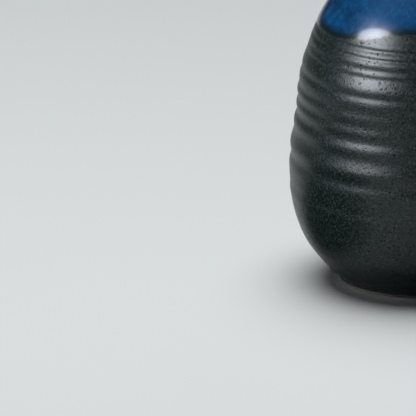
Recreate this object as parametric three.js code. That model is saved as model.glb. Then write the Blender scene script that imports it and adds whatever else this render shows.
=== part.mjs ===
// A stoneware sake bottle (tokkuri): a wheel-thrown clay shell and the coats of glaze that lie on it,
// each coat a body of its own. Millimetres, +Z up. The origin is the middle of the foot's underside,
// and every piece is turned about Z.
import * as THREE from "three";

// The glazed outside, from the table up
const FOOT_RADIUS = 24.8; // where the foot stands
const FOOT_HEIGHT = 2; // the low upright wall under the belly
const BASE_RADIUS = 25.7; // where that wall meets the belly
const BASE_FLARE = 1.15; // how fast the belly widens there, radius per height
const BELLY_RADIUS = 42; // the widest place
const BELLY_HEIGHT = 39;
const FLANK_NARROWING = 2.8; // how much the flank has drawn in, halfway from the belly to the shoulder
const FLANK_TAPER = -0.085; // radius per height there
const SHOULDER_NARROWING = 10; // how much the shoulder has drawn in where it turns towards the neck
const SHOULDER_TAPER = -0.45; // radius per height there
const SHOULDER_DROP = 27; // from the neck's narrowest place down to that turn
const SHOULDER_PULL = 0.5; // share of that drop over which the shoulder keeps its taper
const NECK_RADIUS = 16; // the narrowest place
const NECK_PULL = 0.38; // share of that drop over which the neck stays upright
const NECK_DROP = 20; // from the rim down to the neck's narrowest place
const LIP_RADIUS = 20; // the rim's outer edge
const LIP_FLARE = 0.42; // how fast the mouth widens at the rim, radius per height
const HEIGHT = 138; // to the top of the rim

// Walls, floor and foot ring
const BODY_WALL = 4.2; // clay alone, from the heel to the shoulder
const NECK_WALL = 2.8; // clay alone, at the neck and the rim
const FLOOR_THICKNESS = 4.8; // clay alone
const HEEL_RISE = 9; // how far above the floor the inside begins to round into it
const HEEL_ROUND = 9; // length of that rounding's pull along the wall
const FLOOR_FLAT = 15; // length of its pull along the floor
const RECESS_DEPTH = 2.6; // hollow under the foot
const RING_WIDTH = 4.6; // flat that the bottle stands on
const RING_SLOPE = 1.2; // how much the recess narrows towards its ceiling
const RING_BEVEL = 0.5; // broken outer corner of the foot

// Glaze
const GLAZE = 0.6; // thickness of every coat
const BARE_EDGE = 0.9; // unglazed strip above the table
const GLAZE_LINE = 91; // height where the blue meets the black, outside
const BLUE_DEPTH = 14; // how far below the rim the blue ends, inside
const PATCH_MARGIN = 1.2; // bare strip round the glaze patch in the recess

// Fineness of the turned faces
const SEGMENTS = 40; // around
const STEP = 7; // most height between two rings of points
const ROUND_STEPS = 3; // in each half of the rim's rounding
const FLOOR_STEPS = 6; // in the rounding from the wall to the floor

// Places that follow from those sizes
const NECK_HEIGHT = HEIGHT - NECK_DROP;
const SHOULDER_HEIGHT = NECK_HEIGHT - SHOULDER_DROP;
const FLOOR_HEIGHT = RECESS_DEPTH + FLOOR_THICKNESS;
const HEEL_HEIGHT = FLOOR_HEIGHT + HEEL_RISE;
const INSIDE_LINE = HEIGHT - BLUE_DEPTH;
const RIM_ROUND = NECK_WALL / 2 + GLAZE;
const RIM_CENTRE = new THREE.Vector2(LIP_RADIUS - RIM_ROUND, HEIGHT - RIM_ROUND);
const RIM_TILT = Math.atan(LIP_FLARE);
const RIM_START = RIM_CENTRE.y - RIM_ROUND * Math.sin(RIM_TILT);

// One stretch of outline between two stations { radius, height, slope }. A pull is the share of the
// stretch's height over which it keeps the slope of that end.
function stretch(low, high, lowPull = 1 / 3, highPull = 1 / 3) {
  const rise = high.height - low.height;
  return new THREE.CubicBezierCurve(
    new THREE.Vector2(low.radius, low.height),
    new THREE.Vector2(low.radius + low.slope * rise * lowPull, low.height + rise * lowPull),
    new THREE.Vector2(high.radius - high.slope * rise * highPull, high.height - rise * highPull),
    new THREE.Vector2(high.radius, high.height),
  );
}

// The glazed outside as curves of radius and height, from the table to where the rim begins to round
function outsideCurves() {
  const footSlope = (BASE_RADIUS - FOOT_RADIUS) / FOOT_HEIGHT;
  const foot = { radius: FOOT_RADIUS, height: 0, slope: footSlope };
  const footTop = { radius: BASE_RADIUS, height: FOOT_HEIGHT, slope: footSlope };
  const base = { radius: BASE_RADIUS, height: FOOT_HEIGHT, slope: BASE_FLARE };
  const belly = { radius: BELLY_RADIUS, height: BELLY_HEIGHT, slope: 0 };
  const flank = {
    radius: BELLY_RADIUS - FLANK_NARROWING,
    height: (BELLY_HEIGHT + SHOULDER_HEIGHT) / 2,
    slope: FLANK_TAPER,
  };
  const shoulder = {
    radius: BELLY_RADIUS - SHOULDER_NARROWING,
    height: SHOULDER_HEIGHT,
    slope: SHOULDER_TAPER,
  };
  const neck = { radius: NECK_RADIUS, height: NECK_HEIGHT, slope: 0 };
  const lip = {
    radius: RIM_CENTRE.x + RIM_ROUND * Math.cos(RIM_TILT),
    height: RIM_START,
    slope: LIP_FLARE,
  };
  return [
    stretch(foot, footTop),
    stretch(base, belly),
    stretch(belly, flank),
    stretch(flank, shoulder),
    stretch(shoulder, neck, SHOULDER_PULL, NECK_PULL),
    stretch(neck, lip),
  ];
}

const OUTSIDE = outsideCurves();

// The share of a rising curve at which it reaches a height, by halving
function shareAt(curve, height) {
  let low = 0;
  let high = 1;
  while (high - low > 1e-9) {
    const middle = (low + high) / 2;
    if (curve.getPoint(middle).y < height) low = middle;
    else high = middle;
  }
  return high;
}

// The glazed outside at a height: its point, and the direction in which it rises there
function outsideAt(height) {
  const curve = OUTSIDE.find((part) => part.v3.y >= height) ?? OUTSIDE.at(-1);
  const share = shareAt(curve, height);
  return { point: curve.getPoint(share), rising: curve.getTangent(share) };
}

// The point a given depth under the glazed outside, measured square to it at a height
function under(height, depth) {
  const { point, rising } = outsideAt(height);
  return point.addScaledVector(new THREE.Vector2(-rising.y, rising.x), depth);
}

// Thickness of the clay at a height: the belly's wall thins to the neck's over the shoulder
function clayWall(height) {
  const share = THREE.MathUtils.smoothstep(height, SHOULDER_HEIGHT, NECK_HEIGHT);
  return THREE.MathUtils.lerp(BODY_WALL, NECK_WALL, share);
}

// Heights from low to high, evenly spread, no more than STEP apart
function spread(low, high) {
  const steps = Math.ceil((high - low) / STEP);
  return Array.from({ length: steps + 1 }, (_, i) => low + ((high - low) * i) / steps);
}

const BLACK_HEIGHTS = [
  BARE_EDGE,
  ...spread(FOOT_HEIGHT, BELLY_HEIGHT),
  ...spread(BELLY_HEIGHT, GLAZE_LINE).slice(1),
];
const BLUE_HEIGHTS = [
  ...spread(GLAZE_LINE, NECK_HEIGHT),
  ...spread(NECK_HEIGHT, RIM_START).slice(1),
];
const MOUTH_HEIGHTS = spread(INSIDE_LINE, RIM_START);
const LINING_HEIGHTS = spread(HEEL_HEIGHT, INSIDE_LINE);

// Outer faces, going up: the glaze's own face, and the clay's face under it
const glazedOutside = (heights) => heights.map((height) => under(height, 0));
const clayOutside = (heights) => heights.map((height) => under(height, GLAZE));

// Inner faces, going up: the clay's, and the glaze's own face on it
const clayInside = (heights) => heights.map((height) => under(height, GLAZE + clayWall(height)));
const glazedInside = (heights) =>
  heights.map((height) => under(height, GLAZE + clayWall(height) + GLAZE));

// The rim's rounding at a radius about its centre, over the top from outside to inside, ends left out
function rim(radius) {
  const top = Math.PI / 2;
  const angles = [];
  for (let i = 1; i <= ROUND_STEPS; i += 1) {
    angles.push(THREE.MathUtils.lerp(-RIM_TILT, top, i / ROUND_STEPS));
  }
  for (let i = 1; i < ROUND_STEPS; i += 1) {
    angles.push(THREE.MathUtils.lerp(top, Math.PI - RIM_TILT, i / ROUND_STEPS));
  }
  return angles.map((angle) =>
    new THREE.Vector2(Math.cos(angle), Math.sin(angle)).multiplyScalar(radius).add(RIM_CENTRE),
  );
}

// The inside's rounding from the wall to the middle of the floor, raised by a coat, start left out
function floorRounding(coat) {
  const wall = under(HEEL_HEIGHT, GLAZE + BODY_WALL);
  const { rising } = outsideAt(HEEL_HEIGHT);
  const curve = new THREE.CubicBezierCurve(
    wall,
    wall.clone().addScaledVector(rising, -HEEL_ROUND),
    new THREE.Vector2(FLOOR_FLAT, FLOOR_HEIGHT),
    new THREE.Vector2(0, FLOOR_HEIGHT),
  );
  const points = [];
  for (let i = 1; i < FLOOR_STEPS; i += 1) {
    const along = curve.getTangent(i / FLOOR_STEPS);
    const inward = new THREE.Vector2(along.y, -along.x);
    points.push(curve.getPoint(i / FLOOR_STEPS).addScaledVector(inward, coat));
  }
  return [...points, new THREE.Vector2(0, FLOOR_HEIGHT + coat)];
}

// A body turned about Z from a profile of (radius, height) that runs out, up and back in
function turned(name, profile, material) {
  const geometry = new THREE.LatheGeometry(profile, SEGMENTS);
  geometry.rotateX(Math.PI / 2);
  const mesh = new THREE.Mesh(geometry, material);
  mesh.name = name;
  return mesh;
}

// The thrown and trimmed shell: recess and foot ring, wall, rim, inside wall and floor
function clayBody() {
  const ringOutside = under(0, GLAZE).x - RING_BEVEL;
  const profile = [
    new THREE.Vector2(0, RECESS_DEPTH),
    new THREE.Vector2(ringOutside - RING_WIDTH - RING_SLOPE, RECESS_DEPTH),
    new THREE.Vector2(ringOutside - RING_WIDTH, 0),
    new THREE.Vector2(ringOutside, 0),
    under(RING_BEVEL, GLAZE),
    ...clayOutside(BLACK_HEIGHTS),
    ...clayOutside(BLUE_HEIGHTS.slice(1)),
    ...rim(RIM_ROUND - GLAZE),
    ...clayInside(MOUTH_HEIGHTS).reverse(),
    ...clayInside(LINING_HEIGHTS.slice(0, -1)).reverse(),
    ...floorRounding(0),
  ];
  const finish = new THREE.MeshStandardMaterial({ color: "#cfc2aa", roughness: 0.9, metalness: 0 });
  return turned("clay_body", profile, finish);
}

const blackFinish = new THREE.MeshStandardMaterial({ color: "#191c1b", roughness: 0.35, metalness: 0 });

// The satin black coat from the foot's bare edge up to the blue
function outerBlackGlaze() {
  const profile = [...glazedOutside(BLACK_HEIGHTS), ...clayOutside(BLACK_HEIGHTS).reverse()];
  return turned("outer_black_glaze", [...profile, profile[0]], blackFinish);
}

// The blue coat over the shoulder, the neck and the rim, and a little way down the mouth
function neckBlueGlaze() {
  const outer = [
    ...glazedOutside(BLUE_HEIGHTS),
    ...rim(RIM_ROUND),
    ...glazedInside(MOUTH_HEIGHTS).reverse(),
  ];
  const inner = [
    ...clayOutside(BLUE_HEIGHTS),
    ...rim(RIM_ROUND - GLAZE),
    ...clayInside(MOUTH_HEIGHTS).reverse(),
  ];
  const profile = [...outer, ...inner.reverse()];
  const finish = new THREE.MeshStandardMaterial({ color: "#06386a", roughness: 0.12, metalness: 0 });
  return turned("neck_blue_glaze", [...profile, profile[0]], finish);
}

// The black lining of the wall and the floor, up to where the blue ends in the mouth
function innerBlackGlaze() {
  const profile = [
    ...floorRounding(0).reverse(),
    ...clayInside(LINING_HEIGHTS),
    ...glazedInside(LINING_HEIGHTS).reverse(),
    ...floorRounding(GLAZE),
  ];
  return turned("inner_black_glaze", profile, blackFinish);
}

// The patch of black glaze on the ceiling of the foot's recess
function footRecessGlaze() {
  const radius = under(0, GLAZE).x - RING_BEVEL - RING_WIDTH - RING_SLOPE - PATCH_MARGIN;
  const profile = [
    new THREE.Vector2(0, RECESS_DEPTH - GLAZE),
    new THREE.Vector2(radius, RECESS_DEPTH - GLAZE),
    new THREE.Vector2(radius, RECESS_DEPTH),
    new THREE.Vector2(0, RECESS_DEPTH),
  ];
  return turned("foot_recess_glaze", profile, blackFinish);
}

const bottle = new THREE.Group();
bottle.add(clayBody(), outerBlackGlaze(), neckBlueGlaze(), innerBlackGlaze(), footRecessGlaze());

export default bottle;
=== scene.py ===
import math

import bmesh
import bpy
import numpy as np
from mathutils import Matrix, Vector
from mathutils.geometry import interpolate_bezier


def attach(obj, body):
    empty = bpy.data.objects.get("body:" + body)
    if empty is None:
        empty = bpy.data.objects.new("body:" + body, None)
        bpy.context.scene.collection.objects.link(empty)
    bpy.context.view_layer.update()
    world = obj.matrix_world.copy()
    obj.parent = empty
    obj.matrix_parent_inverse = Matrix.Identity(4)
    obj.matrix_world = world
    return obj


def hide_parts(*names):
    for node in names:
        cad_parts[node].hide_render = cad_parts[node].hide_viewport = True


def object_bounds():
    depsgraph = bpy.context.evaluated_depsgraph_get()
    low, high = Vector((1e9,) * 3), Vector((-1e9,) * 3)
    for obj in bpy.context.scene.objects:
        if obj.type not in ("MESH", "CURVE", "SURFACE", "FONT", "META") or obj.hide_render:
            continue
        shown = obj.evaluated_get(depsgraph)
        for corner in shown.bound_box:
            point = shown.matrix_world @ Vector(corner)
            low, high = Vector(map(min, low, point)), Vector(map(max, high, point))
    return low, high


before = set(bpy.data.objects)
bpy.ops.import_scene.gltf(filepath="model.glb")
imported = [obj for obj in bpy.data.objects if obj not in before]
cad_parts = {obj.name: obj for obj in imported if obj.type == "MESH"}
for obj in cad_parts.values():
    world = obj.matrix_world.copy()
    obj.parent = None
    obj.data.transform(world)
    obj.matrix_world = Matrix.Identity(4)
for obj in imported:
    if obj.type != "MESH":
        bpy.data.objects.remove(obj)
cad_low, cad_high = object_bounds()


# ------------------------------------------------------------------------------------------------
# Clay body. Buff stoneware, thrown on the wheel in one piece and trimmed at the foot when leather
# hard, so that a low ring stands proud round a shallow recess. Glaze hides it all but that ring.

# The glazed outside, as (radius, height, slope) at the places where its curve changes
RING_ROOM = 0.00014  # how far the smooth belly stays within its full size, for the rings on it
FOOT = (0.0248, 0.0, 0.45)
BASE = (0.0257, 0.002, 1.15)
BELLY = (cad_high.x - RING_ROOM, 0.039, 0.0)
SHOULDER = (0.0320, 0.091, -0.45)
FLANK = (0.0392, (BELLY[1] + SHOULDER[1]) / 2, -0.085)
NECK = (0.016, cad_high.z - 0.020, 0.0)
SHOULDER_PULL = 0.5  # share of the rise to the neck over which the shoulder keeps its slope
NECK_PULL = 0.38  # share of it over which the neck stays upright
LIP_RADIUS = 0.020
LIP_FLARE = 0.42  # radius per height where the mouth meets the rim
RIM_ROUND = 0.002
RIM_CENTRE = (LIP_RADIUS - RIM_ROUND, cad_high.z - RIM_ROUND)
RIM_TILT = math.atan(LIP_FLARE)
LIP = (
    RIM_CENTRE[0] + RIM_ROUND * math.cos(RIM_TILT),
    RIM_CENTRE[1] - RIM_ROUND * math.sin(RIM_TILT),
    LIP_FLARE,
)
FLARE_ON = 0.006  # the mouth's flare carried on past the rim, for the inside to run parallel to
MOUTH_TOP = RIM_CENTRE[1] + RIM_ROUND * math.sin(RIM_TILT)  # where the inside meets the rim

COAT = 0.0006  # every glaze's thickness
HAIR = 0.00002  # gap that keeps a coat's hidden face off the clay's
BODY_WALL = 0.0042
NECK_WALL = 0.0028
RECESS = 0.0026  # depth of the hollow under the foot
FLOOR = 0.0074  # height of the clay floor inside
HEEL = 0.0164  # height where the inside wall begins to round into the floor
HEEL_PULL = (0.0045, 0.0062)  # how far inwards and down the wall keeps its slope there
FLOOR_FLAT = 0.0150  # radius out to which the floor keeps level
RING_OUTER = 0.0237
RING_INNER = 0.0191
RECESS_RADIUS = 0.0179
FOOT_CORNER = (0.0006, 0.0011)  # heights of the first two rows above the ring's broken corner
CLAY_CORNERS = (-0.0001, 0.003, 0.0003)  # the foot's corners: lowest, highest, rounding

STRETCH_POINTS = 90  # along each stretch of the outline
TURNS = 240  # facets round the wheel
UNDER_STEP = 0.0025  # between rows of faces that glaze or clay hides
SHARP = math.radians(40)  # edges sharper than this aren't smoothed over
CORNER = 0.6  # edges sharper than this, in radians, can be rounded


def stretch(low, high, low_pull=1 / 3, high_pull=1 / 3):
    """Points (radius, height) up the outline between two places; a pull is how long a slope is kept."""
    rise = high[1] - low[1]
    handle_low = (low[0] + low[2] * rise * low_pull, low[1] + rise * low_pull)
    handle_high = (high[0] - high[2] * rise * high_pull, high[1] - rise * high_pull)
    return interpolate_bezier(low[:2], handle_low, handle_high, high[:2], STRETCH_POINTS)


flare_end = (LIP[0] + LIP[2] * FLARE_ON, LIP[1] + FLARE_ON, LIP[2])
outline = (
    stretch(FOOT, (BASE[0], BASE[1], FOOT[2]))
    + stretch(BASE, BELLY)[1:]
    + stretch(BELLY, FLANK)[1:]
    + stretch(FLANK, SHOULDER)[1:]
    + stretch(SHOULDER, NECK, SHOULDER_PULL, NECK_PULL)[1:]
    + stretch(NECK, LIP)[1:]
    + stretch(LIP, flare_end)[1:]
)
outline_radii = np.array([point[0] for point in outline])
outline_heights = np.array([point[1] for point in outline])
outline_slopes = np.gradient(outline_radii, outline_heights)


def outside_radius(height):
    """Radius of the glazed outside, before the throwing rings."""
    return float(np.interp(height, outline_heights, outline_radii))


def inside_radius(height, coat=0.0):
    """Radius of the clay's inside wall, or of a coat's face on it: parallel to the outside."""
    share = min(max((height - SHOULDER[1]) / (NECK[1] - SHOULDER[1]), 0.0), 1.0)
    share = share * share * (3 - 2 * share)
    wall = BODY_WALL + (NECK_WALL - BODY_WALL) * share
    slope = float(np.interp(height, outline_heights, outline_slopes))
    return outside_radius(height) - (COAT + wall + coat) * math.hypot(1, slope)


def rising(low, high, step):
    """Heights from low to high, evenly spread about a step apart."""
    return [float(z) for z in np.linspace(low, high, max(2, round((high - low) / step) + 1))]


def rim_arc(radius, steps=16):
    """The rim's rounding at a radius about its centre, over the top from outside to inside."""
    angles = np.linspace(-RIM_TILT, math.pi - RIM_TILT, steps + 1)
    return [
        (RIM_CENTRE[0] + radius * math.cos(a), RIM_CENTRE[1] + radius * math.sin(a))
        for a in angles
    ]


def floor_arc(coat, steps=24):
    """The inside's rounding from the wall to the middle of the floor, raised by a coat."""
    start = (inside_radius(HEEL, coat), HEEL)
    handle = (start[0] - HEEL_PULL[0], HEEL - HEEL_PULL[1])
    floor = FLOOR + coat
    points = interpolate_bezier(start, handle, (FLOOR_FLAT, floor), (0.0, floor), steps)
    return [(max(point[0], 0.0), point[1]) for point in points]


def finished(name, bm):
    """The bmesh as a smooth-shaded object that keeps its sharp edges."""
    mesh = bpy.data.meshes.new(name)
    bm.to_mesh(mesh)
    bm.free()
    mesh.shade_smooth()
    mesh.set_sharp_from_angle(angle=SHARP)
    piece = bpy.data.objects.new(name, mesh)
    bpy.context.collection.objects.link(piece)
    return piece


def turned(name, profile, closed=True, relief=None, soft_corners=None):
    """A piece turned about Z from (radius, height) points. A point given with a third number, its
    share, is pushed outwards by that much of relief(x, y, height), x and y being its direction.
    soft_corners is (lowest, highest, rounding): corners between those heights are rounded."""
    bm = bmesh.new()
    share = bm.verts.layers.float.new("share")
    chain = []
    for radius, height, *taken in profile:
        vert = bm.verts.new((radius, 0.0, height))
        vert[share] = taken[0] if taken else 0.0
        chain.append(vert)
    ends = chain[1:] + chain[:1] if closed else chain[1:]
    edges = [bm.edges.new(pair) for pair in zip(chain, ends)]
    bmesh.ops.spin(
        bm, geom=chain + edges, cent=(0, 0, 0), axis=(0, 0, 1),
        angle=math.tau, steps=TURNS, use_merge=True,
    )
    bmesh.ops.remove_doubles(bm, verts=bm.verts, dist=1e-7)
    bmesh.ops.recalc_face_normals(bm, faces=bm.faces)
    for vert in bm.verts if relief else ():
        radius = math.hypot(vert.co.x, vert.co.y)
        if vert[share] and radius:
            push = relief(vert.co.x / radius, vert.co.y / radius, vert.co.z) * vert[share]
            vert.co.x *= 1 + push / radius
            vert.co.y *= 1 + push / radius
    bm.verts.layers.float.remove(share)
    if soft_corners:
        lowest, highest, rounding = soft_corners
        corners = [
            edge for edge in bm.edges
            if edge.calc_face_angle(0) > CORNER
            and all(lowest <= vert.co.z <= highest for vert in edge.verts)
        ]
        bmesh.ops.bevel(
            bm, geom=corners, offset=rounding, affect="EDGES", segments=3,
            profile=0.5, material=-1, clamp_overlap=True,
        )
    return finished(name, bm)


clay_rows = [FOOT_CORNER[0]] + rising(FOOT_CORNER[1], LIP[1], UNDER_STEP)
clay_profile = (
    [(0.0, RECESS), (RECESS_RADIUS, RECESS), (RING_INNER, 0.0), (RING_OUTER, 0.0)]
    + [(outside_radius(z) - COAT - HAIR, z) for z in clay_rows]
    + rim_arc(RIM_ROUND - COAT - HAIR)[1:-1]
    + [(inside_radius(z, -HAIR), z) for z in reversed(rising(HEEL, MOUTH_TOP, UNDER_STEP))]
    + [(radius, z - HAIR) for radius, z in floor_arc(0.0)[1:]]
)
thrown_clay = turned("thrown_clay", clay_profile, closed=False, soft_corners=CLAY_CORNERS)


def add(tree, kind, values=None, **settings):
    """A new node with its settings made and its inputs set, or linked where a socket is given."""
    made = tree.nodes.new(kind)
    for name, value in settings.items():
        setattr(made, name, value)
    for name, value in (values or {}).items():
        if isinstance(value, bpy.types.NodeSocket):
            tree.links.new(value, made.inputs[name])
        else:
            made.inputs[name].default_value = value
    return made


def reckon(tree, operation, *values):
    """A Math node's result."""
    return add(tree, "ShaderNodeMath", dict(enumerate(values)), operation=operation).outputs[0]


def ramp(tree, value, low, high, to_low=0.0, to_high=1.0):
    """A value mapped smoothly from one range to another, and held at its ends."""
    ends = {"Value": value, "From Min": low, "From Max": high, "To Min": to_low, "To Max": to_high}
    return add(tree, "ShaderNodeMapRange", ends, interpolation_type="SMOOTHSTEP").outputs["Result"]


def mixed(tree, factor, first, second):
    """Two colours mixed."""
    values = {0: factor, 6: first, 7: second}
    return add(tree, "ShaderNodeMix", values, data_type="RGBA").outputs[2]


def noise(tree, vector, scale, detail=3.0, roughness=0.55):
    """Noise, 0 to 1, with a number of patches per metre."""
    values = {"Vector": vector, "Scale": scale, "Detail": detail, "Roughness": roughness}
    return add(tree, "ShaderNodeTexNoise", values).outputs["Fac"]


def split(tree, place):
    """A place's x, y and z, and its distance from the axis."""
    x, y, z = add(tree, "ShaderNodeSeparateXYZ", {0: place}).outputs
    flat = add(tree, "ShaderNodeCombineXYZ", {0: x, 1: y}).outputs[0]
    length = add(tree, "ShaderNodeVectorMath", {0: flat}, operation="LENGTH")
    return x, y, z, length.outputs["Value"]


def cells(tree, place, scale):
    """A cell pattern's distance from each cell's middle, and two random numbers for each cell."""
    made = add(tree, "ShaderNodeTexVoronoi", {"Vector": place, "Scale": scale}).outputs
    lots = add(tree, "ShaderNodeSeparateColor", {0: made["Color"]}).outputs
    return made["Distance"], lots[0], lots[1]


def material(name, base_roughness=0.5):
    """A new material, its tree, its Principled BSDF and its Object coordinates."""
    made = bpy.data.materials.new(name)
    made.use_nodes = True
    tree = made.node_tree
    shader = tree.nodes["Principled BSDF"]
    shader.inputs["Roughness"].default_value = base_roughness
    place = tree.nodes.new("ShaderNodeTexCoord").outputs["Object"]
    return made, tree, shader, place


def bump(tree, shader, height, distance):
    """Feeds a height, 0 to 1, to the shader's normal through a Bump node of that depth in metres."""
    values = {"Height": height, "Distance": distance, "Strength": 1.0}
    tree.links.new(add(tree, "ShaderNodeBump", values).outputs["Normal"], shader.inputs["Normal"])


BUFF = (0.56, 0.49, 0.39, 1)
DEEP_BUFF = (0.43, 0.37, 0.29, 1)
TOASTED_AND_SHADED = (0.15, 0.12, 0.095, 1)
SAND = (0.75, 0.68, 0.55, 1)
IRON = (0.07, 0.035, 0.02, 1)
TOASTING_AND_SHADE = (0.0232, 0.0246)  # radii where the toasting and the painted shade near the glaze start and are full
TOASTING_AND_SHADE_STRAY = 0.001
TOOL_MARKS = 0.0009  # spacing of the trimming tool's rings on the foot
CLAY_BUMP = 0.00012


def bare_clay():
    """Fired buff stoneware: sandy, with iron specks, toasted where it nears the glaze, and painted
    darker there as the shade under the belly.
    """
    made, tree, shader, place = material("bare_clay")
    radius = split(tree, place)[3]
    cloud = noise(tree, place, 160.0)
    sand = noise(tree, place, 2600.0, detail=2.0)
    reach = reckon(tree, "MULTIPLY_ADD", cloud, TOASTING_AND_SHADE_STRAY, radius)
    colour = mixed(tree, cloud, BUFF, DEEP_BUFF)
    # Painted shade: the band by the glaze is toasted, and darkened further for the shade it sits in
    # under the belly
    colour = mixed(tree, ramp(tree, reach, *TOASTING_AND_SHADE, 0.0, 0.8), colour, TOASTED_AND_SHADED)
    colour = mixed(tree, ramp(tree, sand, 0.60, 0.78, 0.0, 0.35), colour, SAND)
    distance, lot, _ = cells(tree, place, 700.0)
    chosen = ramp(tree, lot, 0.80, 0.84)
    iron = reckon(tree, "MULTIPLY", chosen, ramp(tree, distance, 0.30, 0.12))
    colour = mixed(tree, iron, colour, IRON)
    tree.links.new(colour, shader.inputs["Base Color"])
    tree.links.new(ramp(tree, sand, 0.2, 0.8, 0.78, 0.95), shader.inputs["Roughness"])
    marks = reckon(tree, "SINE", reckon(tree, "MULTIPLY", radius, math.tau / TOOL_MARKS))
    tooled = reckon(tree, "MULTIPLY_ADD", marks, 0.16, reckon(tree, "MULTIPLY", sand, 0.8))
    bump(tree, shader, tooled, CLAY_BUMP)
    return made


thrown_clay.data.materials.append(bare_clay())
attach(thrown_clay, "root")
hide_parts("clay_body")


# ------------------------------------------------------------------------------------------------
# Black coat. A satin black glaze poured over the outside, thick enough to soften the potter's
# finger rings without hiding them, and wiped back to a rounded edge just above the foot's ring.

# Throwing rings from the top down: height, how proud (a groove where less than nothing), half
# breadth, and lean, how much deeper it is on the side that faces LEAN_SIDE
RINGS = (
    (0.0900, 0.00006, 0.0008, -0.8),
    (0.0887, -0.00012, 0.0005, -0.8),
    (0.0870, 0.00007, 0.0006, -0.8),
    (0.0859, -0.00010, 0.0005, -0.8),
    (0.0845, 0.00010, 0.0008, -0.8),
    (0.0826, -0.00006, 0.0006, -0.7),
    (0.0812, 0.00003, 0.0005, -0.8),
    (0.0799, -0.00007, 0.0005, -0.8),
    (0.0795, -0.00011, 0.0022, -0.6),
    (0.0760, 0.00024, 0.0018, 0.0),
    (0.0737, -0.00016, 0.0008, 0.0),
    (0.0711, 0.00020, 0.0014, 0.0),
    (0.0684, -0.00010, 0.0010, 0.6),
    (0.0660, 0.00022, 0.0010, 0.9),
    (0.0636, -0.00010, 0.0009, 0.9),
    (0.0613, 0.00022, 0.0010, 0.9),
    (0.0600, -0.00024, 0.0055, 0.0),
    (0.0586, -0.00023, 0.0011, 0.5),
    (0.0556, 0.00021, 0.0012, 0.4),
    (0.0524, -0.00020, 0.0013, 0.3),
    (0.0478, 0.00030, 0.0014, 0.2),
    (0.0440, -0.00030, 0.0013, 0.2),
    (0.0406, 0.00011, 0.0012, 0.5),
    (0.0342, -0.00012, 0.0010, 0.0),
    (0.0315, 0.00014, 0.0013, 0.0),
    (0.0178, 0.00010, 0.0014, 0.0),
    (0.0140, 0.00018, 0.0018, 0.0),
    (0.0045, 0.00012, 0.0012, 0.0),
)
LEAN_SIDE = (-0.53, 0.85)
RING_DIP = 0.0010  # how far a ring runs lower on the side towards -Y, and higher opposite
RING_DRIFT = 0.0002  # how far it wavers besides
RING_FADE = 0.12  # how much its depth changes on the way round
RING_SHUFFLE = 900  # radians per metre of height, which start each ring's fading elsewhere
RING_REACH = 3.2  # half breadths from a ring's middle past which it is nothing
RINGS_START = 0.002  # rise over the coat's lower edge in which the rings come in
BARE_EDGE = 0.0009
BARE_EDGE_CORNERS = (BARE_EDGE - 0.0001, BARE_EDGE + 0.0001, 0.00022)
COAT_SEAM = 0.0855  # where the black coat's own body ends, under the blue's lap
SKIN_STEP = 0.0004  # between the rows of faces that show


def bell(off):
    """A ring's section: 1 in its middle, and less with the half breadths off it."""
    return math.exp(-0.5 * off * off)


def throwing_rings(x, y, height):
    """How proud of the smooth outline the thrown wall stands."""
    drift = RING_DIP * y + RING_DRIFT * (0.7 * x + x * x - y * y)
    side = LEAN_SIDE[0] * x + LEAN_SIDE[1] * y
    proud = 0.0
    for at, depth, breadth, lean in RINGS:
        off = (height - at - drift) / breadth
        if abs(off) < RING_REACH:
            fade = 1 + RING_FADE * math.sin(2 * math.atan2(y, x) + RING_SHUFFLE * at)
            proud += depth * fade * max(0.0, 1 + lean * side) * bell(off)
    return proud


black_skin = [
    (outside_radius(z), z, min(1.0, (z - BARE_EDGE) / RINGS_START))
    for z in rising(BARE_EDGE, COAT_SEAM, SKIN_STEP)
]
black_back = [
    (outside_radius(z) - COAT, z)
    for z in reversed(rising(BARE_EDGE, COAT_SEAM, UNDER_STEP))
]
black_coat = turned(
    "black_coat", black_skin + black_back,
    relief=throwing_rings, soft_corners=BARE_EDGE_CORNERS,
)


def node_group(name, inputs, outputs):
    """A shader node group's tree, its inputs' sockets and its output node."""
    tree = bpy.data.node_groups.new(name, "ShaderNodeTree")
    for direction, sockets in (("INPUT", inputs), ("OUTPUT", outputs)):
        for label, kind in sockets.items():
            tree.interface.new_socket(name=label, in_out=direction, socket_type="NodeSocket" + kind)
    return tree, tree.nodes.new("NodeGroupInput").outputs, tree.nodes.new("NodeGroupOutput")


def placed(tree, group, values):
    """A node group placed in a tree with its inputs' values, by its outputs."""
    return add(tree, "ShaderNodeGroup", values, node_tree=group).outputs


PIT_STRAY = 0.0006  # how far the pits' pattern is pulled about, so that no pit is a neat round
PIT_CROWDING = 0.9  # how much more pitted the glaze is in some patches than in others
PIT_SIZES = (0.15, 0.38)  # the smallest and largest pit's radius, in spacings
SMALL_PITS = 0.0009  # spacing
LARGE_PITS = 0.0014
LARGE_SHARE = 0.20
PIT_STRENGTH = 0.60

BLACK = (0.0012, 0.0030, 0.0028, 1)
BROWNER_BLACK = (0.0027, 0.0049, 0.0043, 1)
PALE_GRAIN = (0.0135, 0.0195, 0.0185, 1)
PIT_SHADE_BLACK = (0.0008, 0.0009, 0.0008, 1)
GLAZE_BUMP = 0.00016
GLAZE_SPECULAR = 0.34


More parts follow.
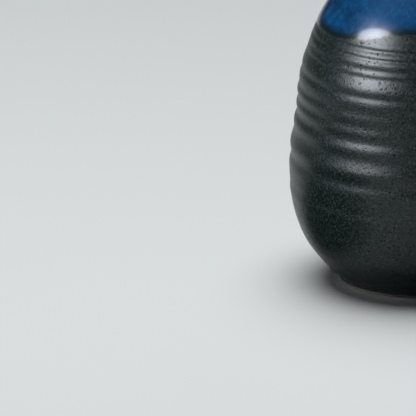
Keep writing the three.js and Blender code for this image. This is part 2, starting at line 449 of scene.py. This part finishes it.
def pitting_group():
    """Fine pits and pinholes that gas leaves in a glaze: 1 in a pit, 0 on the sound surface."""
    inputs = {"Place": "Vector", "Spacing": "Float", "Share": "Float"}
    tree, given, out = node_group("Pitting", inputs, {"Pits": "Float"})
    place = given["Place"]
    pull = add(tree, "ShaderNodeTexNoise", {"Vector": place, "Scale": 1700.0, "Detail": 2.0})
    values = {0: pull.outputs["Color"], "Scale": PIT_STRAY}
    away = add(tree, "ShaderNodeVectorMath", values, operation="SCALE").outputs[0]
    pulled = add(tree, "ShaderNodeVectorMath", {0: place, 1: away}).outputs[0]
    scale = reckon(tree, "DIVIDE", 1.0, given["Spacing"])
    distance, lot, size_lot = cells(tree, pulled, scale)

    # A cell has a pit when its lot is over the bar, which is lower in crowded patches
    crowd = noise(tree, place, 90.0, detail=2.0)
    bar = reckon(tree, "MULTIPLY_ADD", crowd, -PIT_CROWDING, 1 + PIT_CROWDING / 2)
    bar = reckon(tree, "SUBTRACT", bar, given["Share"])
    chosen = reckon(tree, "GREATER_THAN", lot, bar)
    size = ramp(tree, size_lot, 0.0, 1.0, *PIT_SIZES)
    pit = ramp(tree, reckon(tree, "SUBTRACT", distance, size), 0.05, -0.12)
    tree.links.new(reckon(tree, "MULTIPLY", pit, chosen), out.inputs["Pits"])
    return tree


pitting = pitting_group()


def black_glaze_group():
    """The black glaze: clouded green and brown, with a paler grain, and painted shade in its pits, dark
    and dull.
    """
    tree, given, out = node_group(
        "Black glaze",
        {"Place": "Vector", "Pit share": "Float", "Sheen": "Float"},
        {"Color": "Color", "Metallic": "Float", "Roughness": "Float", "Height": "Float"},
    )
    place = given["Place"]
    small = {"Place": place, "Spacing": SMALL_PITS, "Share": given["Pit share"]}
    large = {"Place": place, "Spacing": LARGE_PITS, "Share": LARGE_SHARE}
    both = [placed(tree, pitting, values)["Pits"] for values in (small, large)]
    pits = reckon(tree, "MULTIPLY", reckon(tree, "MAXIMUM", *both), PIT_STRENGTH)
    cloud = noise(tree, place, 70.0, detail=4.0)
    grain = noise(tree, place, 1500.0, detail=3.0, roughness=0.65)
    colour = mixed(tree, cloud, BLACK, BROWNER_BLACK)
    colour = mixed(tree, ramp(tree, grain, 0.46, 0.72), colour, PALE_GRAIN)
    # Painted shade: each pit is darkened in colour for the light it traps
    colour = mixed(tree, pits, colour, PIT_SHADE_BLACK)
    tree.links.new(colour, out.inputs["Color"])

    # Painted shade in the pits: a near-black metal reflects almost nothing, standing in for the light a
    # pit swallows
    tree.links.new(pits, out.inputs["Metallic"])
    unevenness = reckon(tree, "SUBTRACT", grain, 0.5)
    satin = reckon(tree, "MULTIPLY_ADD", unevenness, 0.34, given["Sheen"])
    satin = reckon(tree, "MULTIPLY_ADD", pits, 0.12, satin)
    tree.links.new(satin, out.inputs["Roughness"])
    swell = noise(tree, place, 420.0, detail=2.0)
    height = reckon(tree, "MULTIPLY_ADD", grain, 0.22, reckon(tree, "MULTIPLY", swell, 0.30))
    height = reckon(tree, "MULTIPLY_ADD", pits, -0.30, height)
    tree.links.new(height, out.inputs["Height"])
    return tree


black_glaze = black_glaze_group()


def satin_black(name, pit_share, sheen):
    """A black glaze by its pits' share of the surface and its roughness."""
    made, tree, shader, place = material(name)
    shader.inputs["Specular IOR Level"].default_value = GLAZE_SPECULAR
    glaze = placed(tree, black_glaze, {"Place": place, "Pit share": pit_share, "Sheen": sheen})
    tree.links.new(glaze["Color"], shader.inputs["Base Color"])
    tree.links.new(glaze["Metallic"], shader.inputs["Metallic"])
    tree.links.new(glaze["Roughness"], shader.inputs["Roughness"])
    bump(tree, shader, glaze["Height"], GLAZE_BUMP)
    return made


black_coat.data.materials.append(satin_black("satin_black_glaze", pit_share=0.70, sheen=0.35))
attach(black_coat, "root")
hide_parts("outer_black_glaze")


# ------------------------------------------------------------------------------------------------
# Blue coat. A glossy cobalt glaze that the bottle was dipped in, mouth down and a little tilted, so
# its line runs aslant round the shoulder. It laps the black, darkens there, and thins on the rim.

LINE = 0.0903  # the glaze line's mean height outside
LINE_TILT = (0.0021, -0.0025)  # how much the line climbs from the axis to the wall along X and Y
LINE_WAVES = 5  # scallops round the line
WAVE = 0.0009  # their height either way
WAVE_TURN = 2.27  # where round the bottle they start, in radians
RAGGED = 0.0008  # how far the line strays besides, either way
MOUTH_LINE = 0.1245  # its height inside the mouth
MOUTH_SEAM = 0.1180  # where the blue coat's own body ends inside
MOUTH_SPLIT = 0.0143  # radius that parts the neck's inside from its outside
MOUTH_REACH = 0.004  # how far over the line in the mouth the glaze takes its colours from it
MOUTH_STEP = 0.0008  # between rows of faces in the mouth
BLUE_ROLL = (0.0024, 0.00013, 0.0020)  # the thick lower edge: height over the line, depth, breadth
NECK_RINGS = (
    (0.0985, 0.00010, 0.0017),
    (0.1050, 0.00013, 0.0020),
    (0.1130, 0.00009, 0.0018),
    (0.1262, 0.00007, 0.0016),
)


def blue_relief(x, y, height):
    """Throwing rings that carry on under the blue, softened by it, and its own thick lower edge."""
    proud = throwing_rings(x, y, height)
    for at, depth, breadth in NECK_RINGS:
        proud += depth * bell((height - at - RING_DRIFT * (x + y)) / breadth)
    wave = WAVE * math.cos(LINE_WAVES * math.atan2(y, x) + WAVE_TURN)
    line = LINE + LINE_TILT[0] * x + LINE_TILT[1] * y + wave
    over, depth, breadth = BLUE_ROLL
    return proud + depth * bell((height - line - over) / breadth)


blue_outside = [(outside_radius(z), z, 1.0) for z in rising(COAT_SEAM, LIP[1], SKIN_STEP)[:-1]]
blue_inside = [(inside_radius(z, COAT), z) for z in rising(MOUTH_SEAM, MOUTH_TOP, MOUTH_STEP)[:-1]]
blue_inside_back = [(inside_radius(z), z) for z in rising(MOUTH_SEAM, MOUTH_TOP, UNDER_STEP)[:-1]]
blue_back = [(outside_radius(z) - COAT, z) for z in rising(COAT_SEAM, LIP[1], UNDER_STEP)[:-1]]
blue_profile = (
    blue_outside + rim_arc(RIM_ROUND) + blue_inside[::-1]
    + blue_inside_back + rim_arc(RIM_ROUND - COAT)[::-1] + blue_back[::-1]
)
blue_coat = turned("blue_coat", blue_profile, relief=blue_relief)


def between(tree, factor, first, second):
    """Two numbers mixed."""
    values = {0: factor, 2: first, 3: second}
    return add(tree, "ShaderNodeMix", values, data_type="FLOAT").outputs[0]


PAINTED_LIGHT_SIDE = (-0.032, -0.008)  # painted light: the blue is painted lighter from here to here along X, towards the part that the softbox lights
STREAK_DRAW = (1.0, 1.0, 0.28)  # streaks are drawn out down the wall
DEEP_COBALT = (0.0004, 0.0075, 0.024, 1)
COBALT = (0.0009, 0.022, 0.064, 1)
MOTTLED_COBALT = (0.0012, 0.040, 0.104, 1)
PALE_STREAK = (0.003, 0.066, 0.150, 1)
DARK_STREAK = (0.0015, 0.018, 0.060, 1)
RIM_SHOWING = (0.004, 0.022, 0.030, 1)  # the clay and black glaze that show through on the rim
RIM_THIN = (RIM_CENTRE[1] - 0.0012, RIM_CENTRE[1] + RIM_ROUND)  # heights where they start, are full
EDGE_GREEN = (0.0015, 0.0050, 0.0055, 1)
EDGE_BLEND = 0.0006  # how far either side of the line the finish turns from black's to blue's
EDGE_DARKEST = 0.0002  # height over the line where the blue's edge is darkest
BLUE_FULL = 0.0034  # height over the line where the blue has its full colour
BLUE_COAT_ROUGHNESS = 0.24
BLUE_COAT_WEIGHT = 0.48


def height_over_line(tree, place):
    """How far over the blue's ragged line, outside or in the mouth, a point lies."""
    x, y, z, radius = split(tree, place)
    turn = reckon(tree, "MULTIPLY_ADD", reckon(tree, "ARCTAN2", y, x), LINE_WAVES, WAVE_TURN)
    ragged = reckon(tree, "MULTIPLY_ADD", noise(tree, place, 380.0), 2 * RAGGED, -RAGGED)
    ragged = reckon(tree, "MULTIPLY_ADD", reckon(tree, "COSINE", turn), WAVE, ragged)
    climb = reckon(tree, "MULTIPLY", y, LINE_TILT[1])
    climb = reckon(tree, "MULTIPLY_ADD", x, LINE_TILT[0], climb)
    line = reckon(tree, "ADD", reckon(tree, "DIVIDE", climb, radius), LINE)
    outside = reckon(tree, "SUBTRACT", z, reckon(tree, "ADD", line, ragged))
    inside = reckon(tree, "SUBTRACT", z, reckon(tree, "ADD", ragged, MOUTH_LINE))
    in_mouth = reckon(tree, "LESS_THAN", radius, MOUTH_SPLIT)
    near_line = reckon(tree, "LESS_THAN", z, MOUTH_LINE + MOUTH_REACH)
    return between(tree, reckon(tree, "MULTIPLY", in_mouth, near_line), outside, inside)


def cobalt_colour(tree, place, mottle):
    """Cobalt blue, lighter in random pools and painted lighter on the softbox's side, mottled, streaked
    down the wall, thin on the rim.
    """
    x, _, z = add(tree, "ShaderNodeSeparateXYZ", {0: place}).outputs
    drawn = add(tree, "ShaderNodeMapping", {"Vector": place, "Scale": STREAK_DRAW}).outputs[0]
    streaks = noise(tree, drawn, 1100.0, detail=4.0, roughness=0.6)
    pool_and_painted_light = noise(tree, place, 60.0, detail=2.0)
    # Painted light: the pools are made lighter along X towards the side that the softbox lights
    pool_and_painted_light = reckon(tree, "ADD", pool_and_painted_light, ramp(tree, x, *PAINTED_LIGHT_SIDE, -0.2, 0.2))
    blue = mixed(tree, ramp(tree, pool_and_painted_light, 0.3, 0.7), DEEP_COBALT, COBALT)
    blue = mixed(tree, ramp(tree, mottle, 0.42, 0.75, 0.0, 0.55), blue, MOTTLED_COBALT)
    blue = mixed(tree, ramp(tree, streaks, 0.5, 0.8, 0.0, 0.40), blue, PALE_STREAK)
    blue = mixed(tree, ramp(tree, streaks, 0.48, 0.28, 0.0, 0.5), blue, DARK_STREAK)
    return mixed(tree, ramp(tree, z, *RIM_THIN, 0.0, 0.75), blue, RIM_SHOWING)


def cobalt_glaze():
    """Cobalt blue over black, black-green at its edge, and plain black glaze below its line."""
    made, tree, shader, place = material("cobalt_glaze")
    shader.inputs["Specular IOR Level"].default_value = GLAZE_SPECULAR
    shader.inputs["Coat Roughness"].default_value = BLUE_COAT_ROUGHNESS
    above = height_over_line(tree, place)
    mottle = noise(tree, place, 260.0, detail=4.0, roughness=0.6)
    glaze = placed(tree, black_glaze, {"Place": place, "Pit share": 0.40, "Sheen": 0.35})

    edge = ramp(tree, above, -EDGE_BLEND, EDGE_DARKEST)
    dark = mixed(tree, edge, glaze["Color"], EDGE_GREEN)
    blue = cobalt_colour(tree, place, mottle)
    colour = mixed(tree, ramp(tree, above, EDGE_DARKEST, BLUE_FULL), dark, blue)
    tree.links.new(colour, shader.inputs["Base Color"])

    over = ramp(tree, above, -EDGE_BLEND, EDGE_BLEND)
    tree.links.new(between(tree, over, glaze["Metallic"], 0.0), shader.inputs["Metallic"])
    glossy = ramp(tree, mottle, 0.3, 0.7, 0.10, 0.16)
    tree.links.new(between(tree, over, glaze["Roughness"], glossy), shader.inputs["Roughness"])
    coat_weight = reckon(tree, "MULTIPLY", over, BLUE_COAT_WEIGHT)
    tree.links.new(coat_weight, shader.inputs["Coat Weight"])
    smooth = reckon(tree, "MULTIPLY_ADD", mottle, 0.10, 0.12)
    bump(tree, shader, between(tree, over, glaze["Height"], smooth), GLAZE_BUMP)
    return made


blue_coat.data.materials.append(cobalt_glaze())
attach(blue_coat, "root")
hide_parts("neck_blue_glaze")


# ------------------------------------------------------------------------------------------------
# Lining. The same black glaze, poured in and out again before the outside was glazed. It makes the
# bottle tight, and follows the deeper finger grooves that throwing leaves on an inside wall.

GROOVE_DEPTH = 0.00022
GROOVE_RISE = 0.0068  # from one turn of the potter's fingers to the next
GROOVES_FADE = (0.120, 0.03)  # height where they would end, and how far below it they fade from
NECK_GROOVES = 0.3  # share of the depth that they keep up the neck
SEAM_ROOM = 0.004  # how far under the blue's seam the grooves end
LINING_STEP = 0.0011  # between the lining's rows of faces that show


def finger_grooves(x, y, height):
    """A spiral groove, shallower up the neck."""
    turn = height / GROOVE_RISE + math.atan2(y, x) / math.tau
    top, fade = GROOVES_FADE
    kept = min(1.0, max(NECK_GROOVES, (top - height) / fade))
    return GROOVE_DEPTH * math.sin(math.tau * turn) * kept


def lining_share(height):
    """None of the grooves right at the lining's top edge, where it meets the blue."""
    return min(1.0, max(0.0, (MOUTH_SEAM - height) / SEAM_ROOM))


lining_heights = rising(HEEL, MOUTH_SEAM, LINING_STEP)
lining_profile = (
    floor_arc(0.0)[::-1]
    + [(inside_radius(z), z) for z in rising(HEEL, MOUTH_SEAM, UNDER_STEP)[1:]]
    + [(inside_radius(z, COAT), z, lining_share(z)) for z in reversed(lining_heights)]
    + floor_arc(COAT)[1:]
)
black_lining = turned("black_lining", lining_profile, closed=False, relief=finger_grooves)
black_lining.data.materials.append(satin_black("lining_glaze", pit_share=0.60, sheen=0.26))
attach(black_lining, "root")
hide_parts("inner_black_glaze")


# ------------------------------------------------------------------------------------------------
# Recess patch. A thin round of black glaze brushed on the hollow under the foot, inside the bare
# ring, with an uneven edge.

PATCH_RADIUS = 0.0166
PATCH_LOW = RECESS - COAT  # height of its face
PATCH_STEP = 0.0015  # between its face's rings of faces
PATCH_FLAT = PATCH_RADIUS - 0.0012  # radius out to which it is flat
PATCH_ROLL = ((0.0005, 0.00008, 0.9), (0.0, 0.0004, 1.0))  # its edge: in, up, share of straying
PATCH_WAVES = ((3, 1.0, 0.0004), (7, 0.0, 0.00024), (13, 0.0, 0.00016))  # number, turn, height


def brushed_edge(x, y, height):
    """The brush strays a little as the foot turns on the wheel."""
    angle = math.atan2(y, x)
    return sum(depth * math.sin(number * angle + turn) for number, turn, depth in PATCH_WAVES)


patch_profile = (
    [(radius, PATCH_LOW) for radius in rising(0.0, PATCH_FLAT, PATCH_STEP)]
    + [(PATCH_RADIUS - inwards, PATCH_LOW + up, share) for inwards, up, share in PATCH_ROLL]
    + [(PATCH_RADIUS, RECESS - HAIR, 1.0), (0.0, RECESS - HAIR)]
)
recess_patch = turned("recess_patch", patch_profile, closed=False, relief=brushed_edge)
recess_patch.data.materials.append(satin_black("recess_glaze", pit_share=0.60, sheen=0.38))
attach(recess_patch, "root")
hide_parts("foot_recess_glaze")


# ------------------------------------------------------------------------------------------------
# Studio. A pale paper floor, painted darker towards the back as painted shade where the light falls
# off, and one softbox high on the left in front, with a wide panel overhead and a small dark card low
# on the left, seen only in reflections, which lays a painted dark reflection on the glaze. A long lens
# looks a little down on the table, with the bottle to the right of the picture.

FLOOR_RADIUS = 4.0
NEAR_PAPER = (0.815, 0.805, 0.790, 1)
FAR_PAPER_IN_PAINTED_SHADE = (0.655, 0.650, 0.635, 1)
PAPER_CLOUD = (0.70, 0.70, 0.69, 1)
PAINTED_SHADE_FALL = (-0.30, 0.45)  # where along Y the painted shade on the paper starts and is darkest

bm = bmesh.new()
bmesh.ops.create_circle(bm, cap_ends=True, segments=96, radius=FLOOR_RADIUS)
floor = finished("studio_floor", bm)
made, tree, shader, place = material("pale_paper", 0.7)
depth = add(tree, "ShaderNodeSeparateXYZ", {0: place}).outputs["Y"]
# Painted shade: the paper darkens towards the back, where the light falls off
paper = mixed(tree, ramp(tree, depth, *PAINTED_SHADE_FALL), NEAR_PAPER, FAR_PAPER_IN_PAINTED_SHADE)
cloud = ramp(tree, noise(tree, place, 9.0), 0.3, 0.7, 0.0, 0.1)
tree.links.new(mixed(tree, cloud, paper, PAPER_CLOUD), shader.inputs["Base Color"])
floor.data.materials.append(made)

FLAG_RADIUS = 0.040  # the dark card, soft at its edge, which only reflections show: a painted dark reflection
FLAG_SOLID = 0.55  # share of its radius over which it is opaque
FLAG_TILT = math.radians(43)
FLAG_PLACE = (0.0, -0.058, 0.0285)  # before it is turned about the bottle
FLAG_AZIMUTH = math.radians(-61)
PAINTED_REFLECTION_BLACK = (0.004, 0.004, 0.004, 1)

bm = bmesh.new()
bmesh.ops.create_circle(bm, cap_ends=True, segments=48, radius=FLAG_RADIUS)
painted_reflection_card = finished("painted_reflection_card", bm)
painted_reflection_card.data.transform(Matrix.Rotation(-FLAG_TILT, 4, "X"))
painted_reflection_card.data.transform(Matrix.Translation(FLAG_PLACE))
painted_reflection_card.data.transform(Matrix.Rotation(FLAG_AZIMUTH, 4, "Z"))
made, tree, shader, place = material("painted_reflection_card", 1.0)
shader.inputs["Base Color"].default_value = PAINTED_REFLECTION_BLACK
shader.inputs["Specular IOR Level"].default_value = 0.0
centre = Matrix.Rotation(FLAG_AZIMUTH, 3, "Z") @ Vector(FLAG_PLACE)
reach = add(tree, "ShaderNodeVectorMath", {0: place, 1: centre}, operation="DISTANCE")
opaque = ramp(tree, reach.outputs["Value"], FLAG_RADIUS * FLAG_SOLID, FLAG_RADIUS, 1.0, 0.0)
tree.links.new(opaque, shader.inputs["Alpha"])
painted_reflection_card.data.materials.append(made)
# Painted reflection: the card shows only in glossy rays, with no shadow and no part in diffuse light
painted_reflection_card.visible_camera = painted_reflection_card.visible_shadow = painted_reflection_card.visible_diffuse = False

LIT_POINT = Vector((0, 0, 0.07))  # the middle of the bottle, which the lights face
OVERHEAD_COLOUR = (0.92, 0.97, 1.0)
SOFTBOX_COLOUR = (0.89, 0.935, 1.0)
SOFTBOX_SIZE = (0.98, 0.56)
SOFTBOX_LAYERS = ((1.0, 15.0), (0.65, 14.5), (0.35, 9.0))  # share of its size, and power
WORLD_COLOUR = (0.80, 0.83, 0.86, 1)
WORLD_STRENGTH = 0.04


def panel(name, azimuth, elevation, distance, size, power, colour):
    """A soft light that faces the bottle from an azimuth (0 is the camera's side) and elevation."""
    a, e = math.radians(azimuth), math.radians(elevation)
    back = Vector((math.sin(a) * math.cos(e), -math.cos(a) * math.cos(e), math.sin(e)))
    data = bpy.data.lights.new(name, "AREA")
    data.shape = "ELLIPSE"
    data.size, data.size_y = size
    data.energy = power
    data.color = colour
    light = bpy.data.objects.new(name, data)
    light.location = LIT_POINT + back * distance
    light.rotation_euler = (-back).to_track_quat("-Z", "Y").to_euler()
    light.visible_camera = False
    bpy.context.collection.objects.link(light)
    return light


panel(
    "overhead", azimuth=-140, elevation=79, distance=1.05,
    size=(1.05, 1.05), power=14.8, colour=OVERHEAD_COLOUR,
)

# The softbox is brightest in its middle, and lights the bottle but not the paper
lit = bpy.data.collections.new("bottle")
for piece in (thrown_clay, black_coat, blue_coat, black_lining, recess_patch):
    lit.objects.link(piece)
for share, power in SOFTBOX_LAYERS:
    size = (SOFTBOX_SIZE[0] * share, SOFTBOX_SIZE[1] * share)
    softbox = panel(
        f"softbox_{share}", azimuth=-52, elevation=26, distance=1.3,
        size=size, power=power, colour=SOFTBOX_COLOUR,
    )
    softbox.light_linking.receiver_collection = lit

world = bpy.data.worlds.new("studio")
world.use_nodes = True
world.node_tree.nodes["Background"].inputs["Color"].default_value = WORLD_COLOUR
world.node_tree.nodes["Background"].inputs["Strength"].default_value = WORLD_STRENGTH
bpy.context.scene.world = world
bpy.context.scene.view_settings.view_transform = "Standard"

LENS_DISTANCE = 3.0
LENS = 772.5  # millimetres
ELEVATION = math.radians(17.4)
AIM = Vector((-0.0692, 0.0, 0.0238))  # what the lens points at, beside the bottle

camera_data = bpy.data.cameras.new("camera")
camera_data.lens = LENS
camera_data.clip_start = 0.05
camera = bpy.data.objects.new("camera", camera_data)
back = Vector((0, -math.cos(ELEVATION), math.sin(ELEVATION)))
camera.location = AIM + back * LENS_DISTANCE
camera.rotation_euler = (-back).to_track_quat("-Z", "Y").to_euler()
bpy.context.collection.objects.link(camera)
bpy.context.scene.camera = camera
